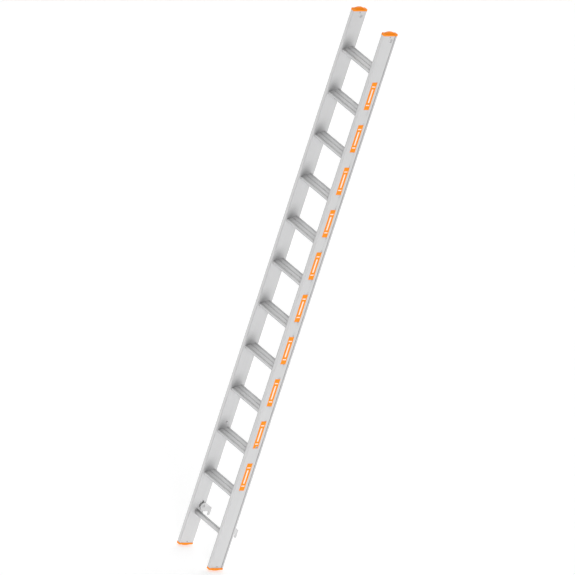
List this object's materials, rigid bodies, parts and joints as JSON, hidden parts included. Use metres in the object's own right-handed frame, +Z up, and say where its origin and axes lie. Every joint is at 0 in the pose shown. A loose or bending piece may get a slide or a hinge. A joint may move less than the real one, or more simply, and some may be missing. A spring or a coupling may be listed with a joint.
{
  "type": "extension ladder section",
  "caption": "Tall aluminium step ladder section: hollow stiles joined by ribbed flat treads and a ribbed bottom rung, with spring-back hooks and capped ends.",
  "frame": {"origin": "on the ground line, midway between the stiles and at the middle of their depth", "axes": "+Z up along the stiles, +X towards the right stile as the climber sees it, +Y towards the back, where the hooks point"},
  "size_m": [0.348, 0.1495, 3.552],
  "materials": {
    "stile_aluminium": "satin, as extruded",
    "step_aluminium": "satin, as extruded",
    "rung_aluminium": "satin, as drawn",
    "orange_plastic": "moulded, fine grain",
    "rivet_steel": "plain",
    "hook_metal": "tumbled",
    "pivot_steel": "zinc plated",
    "washer_nylon": "moulded",
    "spring_steel": "oiled wire",
    "label_orange": "printed film"
  },
  "bodies": {
    "ladder": {"left_stile": "stile_aluminium", "right_stile": "stile_aluminium", "step_01": "step_aluminium", "step_02": "step_aluminium", "step_03": "step_aluminium", "step_04": "step_aluminium", "step_05": "step_aluminium", "step_06": "step_aluminium", "step_07": "step_aluminium", "step_08": "step_aluminium", "step_09": "step_aluminium", "step_10": "step_aluminium", "step_11": "step_aluminium", "bottom_rung": "rung_aluminium", "left_foot": "orange_plastic", "right_foot": "orange_plastic", "left_top_cap": "orange_plastic", "right_top_cap": "orange_plastic", "left_cap_rivets": "rivet_steel", "right_cap_rivets": "rivet_steel", "left_hook_pivot": "pivot_steel", "right_hook_pivot": "pivot_steel", "left_hook_washer": "washer_nylon", "right_hook_washer": "washer_nylon", "left_hook_spring": "spring_steel", "right_hook_spring": "spring_steel", "rail_labels": "label_orange"},
    "left_hook": {"left_hook": "hook_metal"},
    "right_hook": {"right_hook": "hook_metal"}
  },
  "joints": [
    {"name": "left_hook_swing", "type": "hinge", "parent": "ladder", "child": "left_hook", "pos_m": [-0.142, 0.038, 0.2625], "axis": [-1, 0, 0], "range_deg": [0, 60], "stiffness_Nm_per_rad": 0.1, "springref_deg": -34.38, "deforming": ["left_hook_spring"]},
    {"name": "right_hook_swing", "type": "hinge", "parent": "ladder", "child": "right_hook", "pos_m": [0.142, 0.038, 0.2625], "axis": [-1, 0, 0], "range_deg": [0, 60], "stiffness_Nm_per_rad": 0.1, "springref_deg": -34.38, "deforming": ["right_hook_spring"]}
  ]
}
